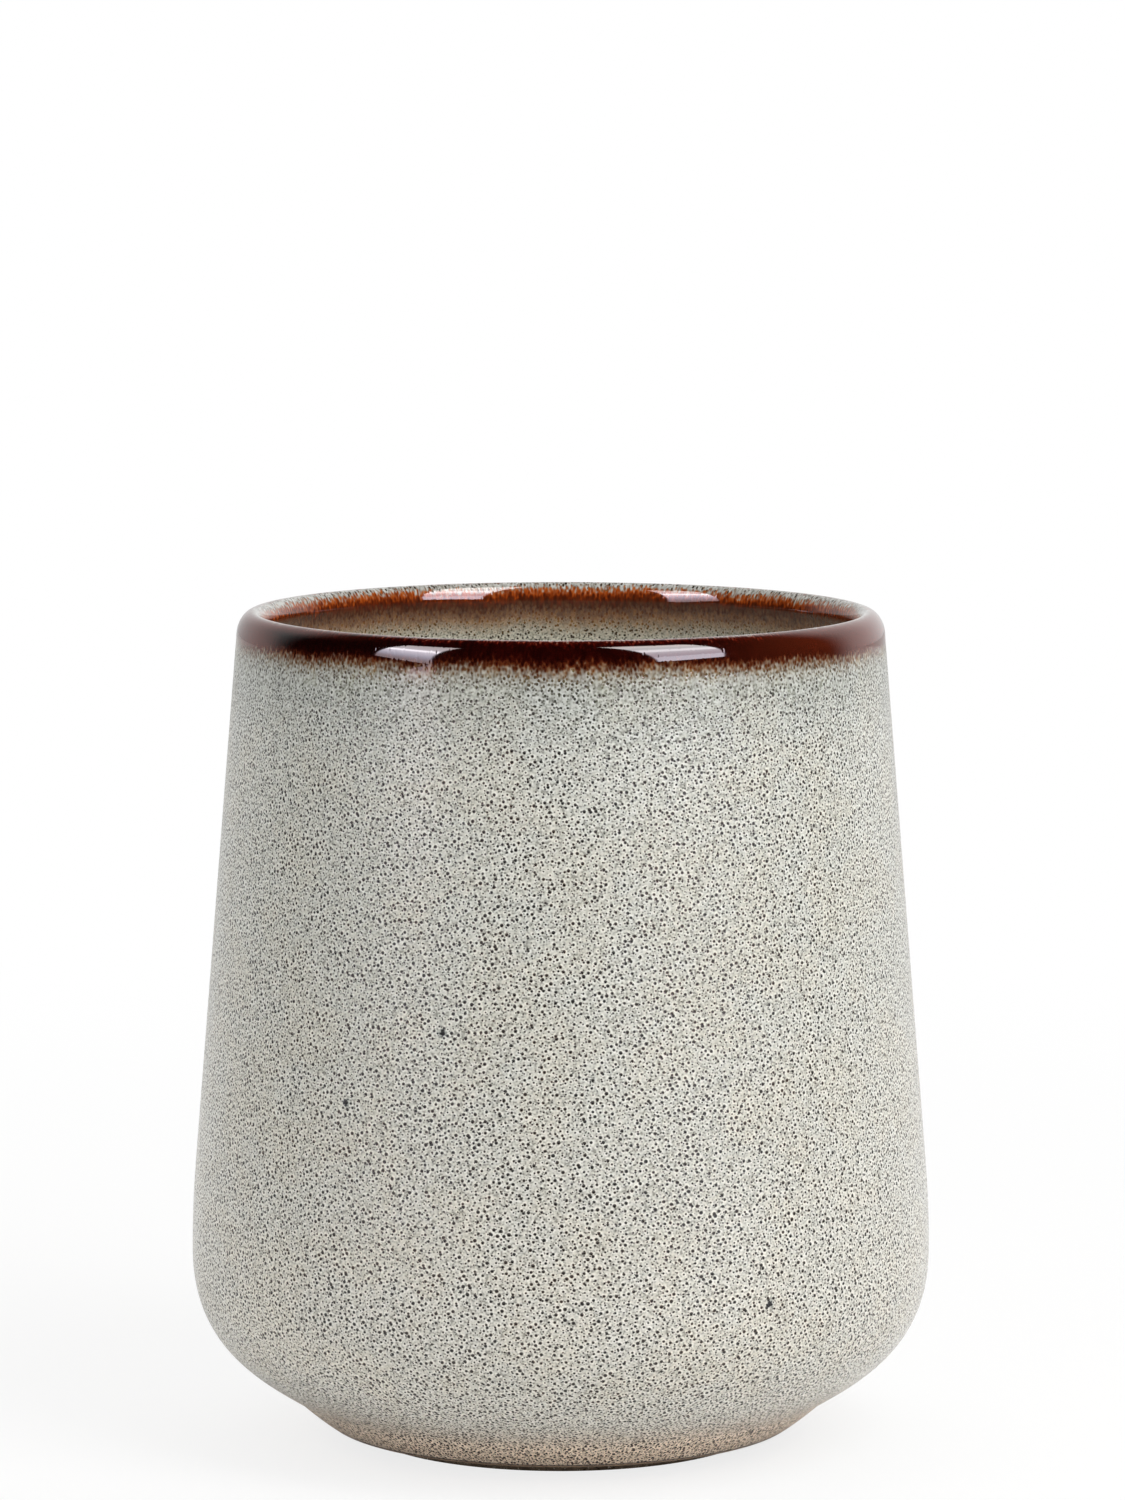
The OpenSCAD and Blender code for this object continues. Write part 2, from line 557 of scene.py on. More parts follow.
class Bench:
    # a node tree and the one way that nodes are put into it

    def __init__(self, nodeTree):
        self.nodeTree = nodeTree
        nodeTree.nodes.clear()

    def add(self, kind, settings=None, sockets=None, output=0):
        node = self.nodeTree.nodes.new(kind)
        for key, value in (settings or {}).items():
            if key == "stops":
                self.setStops(node.color_ramp, value)
            else:
                setattr(node, key, value)
        for key, value in (sockets or {}).items():
            if isinstance(value, Wire):
                self.nodeTree.links.new(value.socket, node.inputs[key])
            else:
                node.inputs[key].default_value = value
        return Wire(self, node.outputs[output]) if len(node.outputs) else None

    def setStops(self, ramp, stops):
        while len(ramp.elements) < len(stops):
            ramp.elements.new(1)
        for element, (position, colour) in zip(ramp.elements, stops):
            element.position = position
            element.color = colour

    def sum(self, operation, *values):
        return self.add("ShaderNodeMath", {"operation": operation}, dict(enumerate(values)))

    def part(self, vector, axis):
        return self.add("ShaderNodeSeparateXYZ", sockets={0: vector}, output=axis)

    def noise(self, where, scale, detail=0.0, roughness=0.5):
        return self.add(
            "ShaderNodeTexNoise",
            {"noise_dimensions": "3D"},
            {"Vector": where, "Scale": scale, "Detail": detail, "Roughness": roughness},
            "Fac",
        )

    def cells(self, where, scale, scatter, dimensions="3D", output="Distance"):
        # distance to the nearest of many scattered points, in cells; a flat pattern spaces them more evenly
        return self.add(
            "ShaderNodeTexVoronoi",
            {"voronoi_dimensions": dimensions, "feature": "F1", "distance": "EUCLIDEAN"},
            {"Vector": where, "Scale": scale, "Randomness": scatter},
            output,
        )

    def smooth(self, value, low, high, start=0.0, end=1.0):
        return self.add(
            "ShaderNodeMapRange",
            {"interpolation_type": "SMOOTHSTEP"},
            {"Value": value, "From Min": low, "From Max": high, "To Min": start, "To Max": end},
        )

    def ramp(self, value, stops, output="Color"):
        return self.add("ShaderNodeValToRGB", {"stops": stops}, {"Fac": value}, output)

    def mix(self, factor, below, above, blend="MIX"):
        return self.add(
            "ShaderNodeMix",
            {"data_type": "RGBA", "blend_type": blend},
            {0: factor, 6: below, 7: above},
            2,
        )

    def multiplied(self, factor, colour, by):
        return self.mix(factor, colour, self.mix(1.0, colour, by, "MULTIPLY"))

    def moved(self, where, shift, scale=(1, 1, 1), turn=0.0):
        return self.add(
            "ShaderNodeMapping",
            {"vector_type": "POINT"},
            {"Vector": where, "Location": shift, "Rotation": (0, 0, turn), "Scale": scale},
        )


def paint(red, green, blue, cover=1.0):
    # a colour as a screen shows it, 0 to 255, made linear
    def linear(value):
        value /= 255
        return value / 12.92 if value <= 0.04045 else ((value + 0.055) / 1.055) ** 2.4

    return (linear(red), linear(green), linear(blue), cover)


# The reactive glaze, one recipe for all four coats

glazeRecipe = {
    "grain": 3600.0,              # the ground's fine mottle, to the metre
    "dots": 1940.0,               # cells of the dark dots to the metre, at most one dot in each
    "dotScatter": 0.86,           # how freely the dots lie; at 0 they stand in rows
    "smallDots": 2700.0,
    "smallDotScatter": 0.9,
    "wallDots": 1600.0,           # the dots of the wall, in a flat pattern wrapped round the pot
    "wallDotScatter": 0.8,
    "wallDotLeast": 0.62,         # a dot's width goes down as this number goes up, from dot to dot
    "wallDotMore": 0.85,
    "wallDotEdge": 0.105,         # brings their distances to those of the dots elsewhere
    "wallRadius": 42.5 * mm,      # at this radius the wrapped pattern is neither stretched nor squeezed
    "wallTurn": 0.5,              # turns it, so that its rows don't run level
    "wallFrom": 8.5,              # millimetres from the crest where it starts
    "wallWander": 6.0,            # and how unevenly
    "seamWander": 0.4,            # how far the line at the back where its ends meet wanders, in radians
    "tint": 150.0,                # slow changes over the pot, to the metre
    "patch": 75.0,
    "patchInWarmth": 0.6,
    "crowdByPatch": 0.07,         # how much the dots' size changes with them
    "crowdByTint": 0.04,
    "footWander": 2.0,            # how unevenly the brown of the foot starts, in millimetres
    "bandFine": 2600.0,           # the band's fine grain, to the metre
    "bandFineStretch": (1, 1, 0.6),
    "bandStreaks": 330.0,
    "shifts": {                   # where each pattern is read, so that no two go together
        "tint": (0.31, 0.17, 0.05),
        "patch": (0.07, 0.42, 0.23),
        "dots": (0.1, 0.2, 0.3),
        "smallDots": (0.17, 0.33, 0.19),
        "wallDots": (0.2, 0.3, 0),
        "bandFine": (0.4, 0.2, 0.1),
        "bandStreaks": (0.6, 0.3, 0.2),
    },
    "growth": {                   # how much wider the dots, or the ground's dark places, are there
        "footDots": 0.045,
        "lowDots": 0.01,
        "footWallDots": 0.055,
        "groundUnderBand": 0.03,
        "dotsUnderBand": -0.04,
        "smallDotsUnderBand": 0.05,
    },
    "ranges": {                   # where each change starts and where it is whole
        "warmth": (0.44, 0.66),           # of the slow changes
        "brownDots": (0.45, 0.6),         # of a cell's own number
        "bandFine": (0.35, 0.65),
        "bandStreaks": (0.5, 0.66),
        "low": (80.0, 10.0),              # heights in millimetres
        "foot": (9.0, 3.0),
        "footLine": (2.05, 1.9),
        "wiped": (1.8, 1.7),
        "outside": (60.0, 80.0),          # millimetres from the crest
        "underBand": (20.0, 5.0),
        "lined": (-2.0, -5.0),
        "deepLiner": (-9.0, -22.0),
        "wider": (1.0, 3.0),
        "streakyLip": (1.2, 2.4),
        "outer": (0.2, 0.7),
        "litBothSides": (2.0, 0.8),
        "darkFrom": (0.7, 1.5),
        "darkTo": (3.9, 3.1),
        "glossy": (6.5, 4.0),
        "satinLiner": (-4.0, -7.0),
        "litFarSides": (4.7, 3.9),           # the same, up to the band's ragged edge
        "litRightSide": (4.6, 2.4),
        "toOneSide": (14.0, 38.0),        # millimetres across the pot, from its axis
        "toDarkSide": (-6.0, -24.0),
        "toBothSides": (330.0, 1300.0),   # and their squares
        "toFarSides": (1060.0, 1380.0),
        "pinholeRing": (0.75, 0.25),      # millimetres from a pinhole's middle
        "pinholeShade": (0.42, 0.28),
        "pinholePit": (0.35, 0.1),
        "dotPit": (0.1, 0.4),             # cells from a dot's middle
    },
    "widerOnOneSide": (8.0, 34.0, 0.0, 0.45),   # across the pot, and how far down the band then reaches
    "shares": {                   # how much of each colour shows
        "warmGround": 0.25,
        "warmDots": 0.45,
        "brownDots": 0.4,
        "footLine": 0.75,
        "pinholeRing": 0.6,
        "bandStreaks": 0.6,
        "shadedLeftSide": 0.8,
        "litBothSides": 0.75,
        "litRightSide": 0.7,
        "litFarSides": 0.85,
    },
    "tones": {                    # what the colour there is multiplied by
        "warmGround": (1.01, 0.995, 0.965, 1),
        "underBand": (0.92, 0.94, 0.965, 1),
        "low": (1.065, 1.04, 1.03, 1),
        # brown, and lighter as painted light from the floor below
        "foot": (1.34, 1.16, 1.05, 1),
        # browner, and lighter as painted light against the shade inside the cup
        "litLiner": (1.15, 1.1, 0.97, 1),
        "deepLiner": (1.06, 1.05, 1.05, 1),
        "fineDark": (0.72, 0.62, 0.6, 1),
        "fineLight": (1.25, 1.2, 1.1, 1),
        "bandStreaks": (1.7, 1.8, 1.6, 1),
        # painted shade on the band's left side
        "shadedLeftSide": (0.4, 0.2, 0.2, 1),
    },
    "paints": {
        # partly the glaze's dark edge, partly painted shade under the foot
        "footLine": paint(50, 36, 28),
        # bare clay's colour, painted lighter against the shade under the foot
        "wiped": paint(168, 142, 118),
        "pinholeRing": paint(88, 98, 100),
        # painted shade in the middle of a pinhole
        "pinholeShade": paint(6, 6, 8),
        # painted light on the band's sides, from the wall behind and the brighter right lamp
        "litBothSides": paint(96, 40, 27),
        "litRightSide": paint(92, 34, 16),
        "litFarSides": paint(98, 40, 27),
    },
    "groundStops": [
        (0.28, paint(164, 164, 157)),
        (0.43, paint(212, 212, 205)),
        (0.58, paint(229, 229, 222)),
        (0.75, paint(239, 238, 232)),
    ],
    "dotStops": [                 # by distance from the dot's middle, and how much of the ground shows
        (0.17, paint(6, 6, 6)),
        (0.24, paint(26, 25, 24)),
        (0.31, paint(112, 111, 107)),
        (0.355, paint(244, 244, 242)),
        (0.42, paint(255, 255, 255)),
        (0.54, paint(246, 246, 245)),
        (0.72, paint(228, 228, 226)),
    ],
    "warmDotStops": [
        (0.17, paint(16, 9, 6)),
        (0.24, paint(54, 35, 26)),
        (0.31, paint(130, 108, 92)),
        (0.36, paint(246, 240, 233)),
        (0.42, paint(255, 254, 250)),
        (0.54, paint(247, 245, 240)),
        (0.72, paint(230, 227, 221)),
    ],
    "smallDotStops": [
        (0.12, paint(108, 108, 102)),
        (0.34, paint(255, 255, 255)),
    ],
    "bandFrom": -9.0,             # the band's colours run from here, in millimetres from the crest,
    "bandTo": 14.0,               # to here
    "bandRag": {                  # how ragged its edges are, in millimetres, by each pattern
        "grain": 1.1,
        "smallDots": 1.3,
        "tint": 1.2,
    },
    "smallDotMiddle": 0.47,       # the usual distance from a small dot's middle, in cells
    "bandStops": [                # millimetres from the crest, colour, and how much of the ground it covers
        (-9.0, paint(120, 100, 70, 0.0)),
        (-7.4, paint(120, 98, 66, 0.12)),
        (-6.4, paint(132, 102, 62, 0.4)),
        (-5.6, paint(136, 100, 58, 0.72)),
        (-4.8, paint(120, 80, 47, 0.9)),
        (-4.0, paint(94, 57, 32, 0.95)),
        (-3.4, paint(80, 43, 23, 1.0)),
        (-2.9, paint(84, 36, 17, 1.0)),
        (-2.4, paint(104, 42, 15, 1.0)),
        (-2.0, paint(150, 66, 20, 1.0)),
        (-1.6, paint(158, 84, 36, 0.97)),
        (-1.25, paint(142, 106, 76, 0.72)),
        (-0.9, paint(108, 92, 78, 0.3)),
        (-0.2, paint(104, 88, 74, 0.26)),
        (0.3, paint(118, 60, 42, 0.9)),
        (0.55, paint(84, 24, 12, 1.0)),
        (0.95, paint(52, 5, 2, 1.0)),
        (1.5, paint(27, 2, 1, 1.0)),
        (2.8, paint(28, 2, 1, 1.0)),
        (3.4, paint(46, 10, 4, 1.0)),
        (3.9, paint(76, 36, 18, 1.0)),
        (4.4, paint(98, 66, 40, 0.92)),
        (4.9, paint(108, 86, 60, 0.74)),
        (5.4, paint(106, 92, 67, 0.56)),
        (5.9, paint(108, 100, 80, 0.4)),
        (6.7, paint(112, 114, 98, 0.28)),
        (8.4, paint(112, 118, 106, 0.17)),
        (10.5, paint(112, 118, 108, 0.08)),
        (14.0, paint(112, 118, 108, 0.0)),
    ],
    "pinholeRag": 0.5,            # how ragged a pinhole's edge is, in millimetres
    "pinholes": [                 # where a bubble burst in the firing, in millimetres
        (-13.85, -40.91, 56.17),
        (-25.34, -35.97, 47.06),
        (24.7, -38.21, 23.35),
    ],
    "glossBand": 0.045,
    "glossBody": 0.22,
    "glossLiner": 0.2,
    "relief": 0.05 * mm,          # depth of the pits that the dark dots sit in
    "glossyRelief": 0.92,         # how much of it the glassy band fills up
    "refraction": 1.55,
}


def glazeMaterial(name, r=glazeRecipe):
    material = bpy.data.materials.new(name)
    material.use_nodes = True
    b = Bench(material.node_tree)
    shifts, growth = r["shifts"], r["growth"]
    shares, tones, paints = r["shares"], r["tones"], r["paints"]
    middle = 0.5                  # the usual value of a noise

    def eased(value, key):
        return b.smooth(value, *r["ranges"][key])

    flow = b.add("ShaderNodeAttribute", {"attribute_name": "flow"}, output="Vector")
    along = b.add("ShaderNodeAttribute", {"attribute_name": "along"}, output="Fac")
    where = b.add("ShaderNodeTexCoord", output="Object")
    height = b.part(where, "Z") / mm
    across = b.part(where, "X") / mm

    # slow changes over the pot
    tint = b.noise(b.moved(flow, shifts["tint"]), r["tint"], 1.0)
    patch = b.noise(b.moved(flow, shifts["patch"]), r["patch"], 1.0)
    warmth = eased(tint + (patch - middle) * r["patchInWarmth"], "warmth")
    low = eased(height, "low")
    footMask = eased(height + (tint - middle) * r["footWander"], "foot") * eased(along, "outside")

    # the speckle: dark dots of two sizes scattered over a finely mottled ground
    grain = b.noise(flow, r["grain"])
    crowd = 1.0 + (patch - middle) * r["crowdByPatch"] + (tint - middle) * r["crowdByTint"]
    dots = b.cells(b.moved(flow, shifts["dots"]), r["dots"], r["dotScatter"]) * crowd
    dots = dots - footMask * growth["footDots"] - low * growth["lowDots"]

    # on the wall they lie in the wrapped pattern, whose ends meet at the back in a line that wanders
    depth = b.part(where, "Y") / mm
    angle = b.sum("ARCTAN2", across, depth * -1.0)
    pastSeam = b.sum("LESS_THAN", angle, tint * r["seamWander"] - math.pi)
    angle = angle + pastSeam * (2 * math.pi)
    onWall = b.sum("GREATER_THAN", along + (tint - middle) * r["wallWander"], r["wallFrom"])
    wrapped = b.add("ShaderNodeCombineXYZ", {}, {0: angle * r["wallRadius"], 1: along * mm})
    wrapped = b.moved(wrapped, shifts["wallDots"], turn=r["wallTurn"])
    cellTint = b.cells(wrapped, r["wallDots"], r["wallDotScatter"], "2D", "Color")
    dotSize = b.add("ShaderNodeSeparateColor", {}, {0: cellTint}, 0) * r["wallDotMore"] + r["wallDotLeast"]
    wallDots = b.cells(wrapped, r["wallDots"], r["wallDotScatter"], "2D") * dotSize * crowd + r["wallDotEdge"]
    wallDots = wallDots - footMask * growth["footWallDots"]
    dots = dots * (1.0 - onWall) + wallDots * onWall

    smallDots = b.cells(b.moved(flow, shifts["smallDots"]), r["smallDots"], r["smallDotScatter"])
    below = eased(along, "underBand")
    ground = b.ramp(grain - below * growth["groundUnderBand"], r["groundStops"])
    ground = b.multiplied(warmth * shares["warmGround"], ground, tones["warmGround"])
    brown = eased(b.add("ShaderNodeSeparateColor", {}, {0: cellTint}, 1), "brownDots") * onWall
    warmDots = b.sum("MAXIMUM", warmth * shares["warmDots"] + brown * shares["brownDots"], footMask)
    blackDots = b.ramp(dots - below * growth["dotsUnderBand"], r["dotStops"])
    ground = b.mix(1.0, ground, b.mix(warmDots, blackDots, b.ramp(dots, r["warmDotStops"])), "MULTIPLY")
    smallShade = b.ramp(smallDots - below * growth["smallDotsUnderBand"], r["smallDotStops"])
    ground = b.mix(1.0, ground, smallShade, "MULTIPLY")

    # cooler under the band, warmer towards the foot and brown on the foot itself, which is also painted
    # lighter there: painted light in place of the light that the floor throws up on it
    ground = b.multiplied(below, ground, tones["underBand"])
    ground = b.multiplied(low, ground, tones["low"])
    ground = b.multiplied(footMask, ground, tones["foot"])
    # a dark line painted along the foot's lower edge: partly the glaze's dark edge, partly painted shade of
    # the gap beneath it
    footLine = eased(height, "footLine") * footMask
    ground = b.mix(footLine * shares["footLine"], ground, paints["footLine"])
    # under it a lighter strip: the bare clay's colour, painted lighter against the shade of the edge that
    # faces the floor
    ground = b.mix(eased(height, "wiped") * footMask, ground, paints["wiped"])

    # pinholes, each a pit in a bluish ring, its middle painted near black as painted shade in the pit
    pinhole = 0.0
    for burst in r["pinholes"]:
        ends = {0: where, 1: Vector(burst) * mm}
        away = b.add("ShaderNodeVectorMath", {"operation": "DISTANCE"}, ends, "Value")
        away = away / mm + (grain - middle) * r["pinholeRag"]
        ground = b.mix(eased(away, "pinholeRing") * shares["pinholeRing"], ground, paints["pinholeRing"])
        ground = b.mix(eased(away, "pinholeShade"), ground, paints["pinholeShade"])
        pinhole = eased(away, "pinholePit") + pinhole

    # the liner: a little browner, and painted lighter than its own colour as painted light against the shade
    # inside the cup
    lined = eased(along, "lined")
    litLiner = b.mix(eased(along, "deepLiner"), tones["litLiner"], tones["deepLiner"])
    ground = b.multiplied(lined, ground, litLiner)

    # the band: its edges are finely ragged, and it reaches lower on one side
    rag = r["bandRag"]
    ragged = along + (grain - middle) * rag["grain"] + (smallDots - r["smallDotMiddle"]) * rag["smallDots"]
    ragged = ragged + (tint - middle) * rag["tint"]
    ragged = ragged - b.smooth(across, *r["widerOnOneSide"]) * eased(along, "wider")
    bandWidth = r["bandTo"] - r["bandFrom"]
    reach = (ragged - r["bandFrom"]) / bandWidth
    stops = [((distance - r["bandFrom"]) / bandWidth, colour) for distance, colour in r["bandStops"]]
    bandColour = b.ramp(reach, stops)
    cover = b.ramp(reach, stops, "Alpha")
    fine = b.noise(b.moved(flow, shifts["bandFine"], r["bandFineStretch"]), r["bandFine"], 1.0)
    bandColour = b.mix(
        eased(fine, "bandFine"),
        b.mix(1.0, bandColour, tones["fineDark"], "MULTIPLY"),
        b.mix(1.0, bandColour, tones["fineLight"], "MULTIPLY"),
    )
    streaks = b.noise(b.moved(flow, shifts["bandStreaks"]), r["bandStreaks"], 2.0)
    streaky = eased(streaks, "bandStreaks") * eased(along, "streakyLip")
    bandColour = b.multiplied(streaky * shares["bandStreaks"], bandColour, tones["bandStreaks"])

    # painted light: the band is painted lighter and redder towards both sides, where the wall behind lights
    # it, and further round on the right, where the brighter lamp stands
    outer = eased(along, "outer")
    litBothSides = eased(across * across, "toBothSides") * eased(along, "litBothSides") * outer
    litFarSides = eased(across * across, "toFarSides") * eased(ragged, "litFarSides") * outer
    litRightSide = eased(across, "toOneSide") * eased(ragged, "litRightSide") * outer
    # painted shade: the band is darker on its left, where less light falls
    shadedLeftSide = eased(across, "toDarkSide") * eased(along, "darkFrom") * eased(along, "darkTo")
    bandColour = b.multiplied(shadedLeftSide * shares["shadedLeftSide"], bandColour, tones["shadedLeftSide"])
    bandColour = b.mix(litBothSides * shares["litBothSides"], bandColour, paints["litBothSides"])
    bandColour = b.mix(litRightSide * shares["litRightSide"], bandColour, paints["litRightSide"])
    bandColour = b.mix(litFarSides * shares["litFarSides"], bandColour, paints["litFarSides"])
    colour = b.mix(cover, ground, bandColour)

    glossy = eased(along, "glossy")
    roughness = b.smooth(glossy, 0.0, 1.0, r["glossBody"], r["glossBand"])
    roughness = roughness + eased(along, "satinLiner") * (r["glossLiner"] - r["glossBand"])

    pits = eased(dots, "dotPit") * (1.0 - glossy * r["glossyRelief"]) - pinhole
    bump = b.add(
        "ShaderNodeBump",
        {},
        {"Strength": 1.0, "Distance": r["relief"], "Height": pits},
        "Normal",
    )
    shader = b.add(
        "ShaderNodeBsdfPrincipled",
        {},
        {
            "Base Color": colour,
            "Roughness": roughness,
            "IOR": r["refraction"],
            "Normal": bump,
        },
        "BSDF",
    )
    b.add("ShaderNodeOutputMaterial", {}, {"Surface": shader})
    return material


speckledCoat.data.materials.append(glazeMaterial("speckledGlaze"))
brownBand.data.materials.append(glazeMaterial("brownGlaze"))
linerCoat.data.materials.append(glazeMaterial("linerGlaze"))
baseCoat.data.materials.append(glazeMaterial("baseGlaze"))
print("glazes mixed")


# Bare fired clay

clayRecipe = {
    "ground": paint(150, 132, 112),
    "dark": paint(116, 98, 80),
    "grog": paint(196, 184, 164),
    # painted shade in the clay's pores
    "poreShade": (0.4, 0.36, 0.33, 1),         # what the colour in a pore is multiplied by
    "clouds": 260.0,                      # to the metre
    "grit": 3200.0,
    "gritShift": (0.3, 0.1, 0.6),
    "cloudRange": (0.35, 0.68),
    "grogRange": (0.62, 0.7),
    "poreRange": (0.36, 0.28),
    "roughness": 0.82,
    "relief": 0.03 * mm,
    "reliefStrength": 0.7,
    "cloudRelief": 0.5,
}


def clayMaterial(name, r=clayRecipe):
    material = bpy.data.materials.new(name)
    material.use_nodes = True
    b = Bench(material.node_tree)
    where = b.add("ShaderNodeTexCoord", output="Object")
    cloud = b.noise(where, r["clouds"], 3.0, 0.6)
    grit = b.noise(b.moved(where, r["gritShift"]), r["grit"], 1.0)
    colour = b.mix(b.smooth(cloud, *r["cloudRange"]), r["dark"], r["ground"])
    colour = b.mix(b.smooth(grit, *r["grogRange"]), colour, r["grog"])
    # painted shade: darker in the pores, the low places of the relief
    colour = b.multiplied(b.smooth(grit, *r["poreRange"]), colour, r["poreShade"])
    bump = b.add(
        "ShaderNodeBump",
        {},
        {"Strength": r["reliefStrength"], "Distance": r["relief"], "Height": grit + cloud * r["cloudRelief"]},
        "Normal",
    )
    shader = b.add(
        "ShaderNodeBsdfPrincipled",
        {},
        {"Base Color": colour, "Roughness": r["roughness"], "Normal": bump},
        "BSDF",
    )
    b.add("ShaderNodeOutputMaterial", {}, {"Surface": shader})
    return material


stonewareCup.data.materials.append(clayMaterial("firedClay"))
print("clay mixed")


# The studio: a pale floor, two soft boxes and a white wall behind

studio = {
    "floorRadius": 1.6,
    "floorSides": 96,
    "floorColour": (0.9, 0.9, 0.89, 1),
    "floorRoughness": 0.9,
    "floorGloss": 0.1,
    "fadeFrom": 0.06,             # the floor turns white for the camera from here to fadeTo, from the axis
    "fadeTo": 0.4,
    "fadeStart": 0.8,             # and this much of it is white from the start
    "fillInFront": 0.58,          # soft light from all around, and more of it from the white wall behind
    "fillBehind": 1.35,
    "fillRange": (0.4, 0.6),      # where it changes, by how far back a direction points, from -1 to 1
    "wallLeft": 0.55,             # how light the room is in reflections: the wall behind the cup, at its two
    "wallRight": 0.95,            # sides, and the room in front
    "wallBehind": 1.2,            # and how much lighter the wall is straight behind the cup
    "roomInFront": 0.01,
    "wallAcross": (-0.5, 0.5),    # where the wall changes from its left to its right, by direction
    "wallEdge": (0.32, 0.64),     # where it starts at its sides,
    "wallTop": (0.78, 0.58),      # at its top
    "wallFoot": (-0.2, 0.1, 0.75, 1.0),   # and how it darkens towards the floor
    "wallMiddle": (0.6, 0.95),
    "boxMargin": 0.2,             # mirrored boxes are made larger on every side by this share of their size
    "boxSoftness": 0.02,          # and then cut to their outline with an edge as soft as this
    "boxForward": 2 * mm,
    "leftBox": {
        "centre": (-0.4992, -0.2776, 0.4102),
        "across": (0.7774, -0.3742, -0.5056),
        "up": (0.6278, 0.5106, 0.5874),
        "size": (0.4007, 0.573),
        "radiance": 0.5,
        "mirrored": 26.0,         # brightness of its reflection, whose colours run up the box
        "corners": (-0.05, 0.33, 1.07, 0.88),   # its left edge, low and high, and its right, as shares
        "ends": (-0.11, 0.95),    # its lower and its upper edge
        "rows": [
            (0.05, (0.15, 0.12, 0.13, 1)),
            (0.20, (0.20, 0.17, 0.20, 1)),
            (0.34, (0.27, 0.25, 0.30, 1)),
            (0.46, (0.36, 0.33, 0.385, 1)),
            (0.575, (0.46, 0.42, 0.48, 1)),
            (0.62, (0.78, 0.73, 0.78, 1)),
            (0.67, (0.78, 0.73, 0.78, 1)),
            (0.71, (0.39, 0.35, 0.38, 1)),
            (0.82, (0.34, 0.30, 0.31, 1)),
            (1.0, (0.30, 0.26, 0.255, 1)),
        ],
    },
    "rightBox": {
        "centre": (0.3550, -0.3046, 0.5513),
        "across": (0.8344, 0.4940, 0.2444),
        "up": (-0.4616, 0.3840, 0.7997),
        "size": (0.3489, 0.6199),
        "radiance": 4.5,
        "mirrored": 20.0,
        "corners": (-0.05, 0.19, 0.88, 1.1),
        "ends": (-0.1, 1.04),
        "rows": [
            (0.0, (0.50, 0.46, 0.52, 1)),
            (0.12, (0.50, 0.46, 0.52, 1)),
            (0.16, (0.37, 0.31, 0.355, 1)),
            (0.26, (0.39, 0.33, 0.37, 1)),
            (0.40, (0.48, 0.43, 0.47, 1)),
            (0.45, (0.76, 0.71, 0.75, 1)),
            (0.55, (0.78, 0.73, 0.765, 1)),
            (0.60, (0.55, 0.53, 0.54, 1)),
            (0.66, (0.48, 0.46, 0.47, 1)),
            (0.78, (0.52, 0.49, 0.485, 1)),
            (0.84, (0.60, 0.56, 0.55, 1)),
            (1.0, (0.46, 0.40, 0.38, 1)),
        ],
    },
}


def floorMaterial():
    material = bpy.data.materials.new("floorPaper")
    material.use_nodes = True
    b = Bench(material.node_tree)
    where = b.add("ShaderNodeTexCoord", output="Object")
    distance = b.add("ShaderNodeVectorMath", {"operation": "LENGTH"}, {0: where}, "Value")
    seen = b.add("ShaderNodeLightPath", output="Is Camera Ray")
    paper = b.add(
        "ShaderNodeBsdfPrincipled",
        {},
        {
            "Base Color": studio["floorColour"],
            "Roughness": studio["floorRoughness"],
            "Specular IOR Level": studio["floorGloss"],
        },
        "BSDF",
    )
    white = b.add("ShaderNodeEmission", {}, {"Color": (1, 1, 1, 1), "Strength": 1.0}, "Emission")
    fade = b.smooth(distance, studio["fadeFrom"], studio["fadeTo"], studio["fadeStart"], 1.0) * seen
    mixed = b.add("ShaderNodeMixShader", {}, {0: fade, 1: paper, 2: white}, "Shader")
    b.add("ShaderNodeOutputMaterial", {}, {"Surface": mixed})
    return material


def layFloor():
    bm = bmesh.new()
    bmesh.ops.create_circle(bm, cap_ends=True, segments=studio["floorSides"], radius=studio["floorRadius"])
    bmesh.ops.recalc_face_normals(bm, faces=bm.faces)
    mesh = bpy.data.meshes.new("paperFloor")
    bm.to_mesh(mesh)
    bm.free()
    floor = bpy.data.objects.new("paperFloor", mesh)
    floor.data.materials.append(floorMaterial())
    bpy.context.scene.collection.objects.link(floor)
    return floor


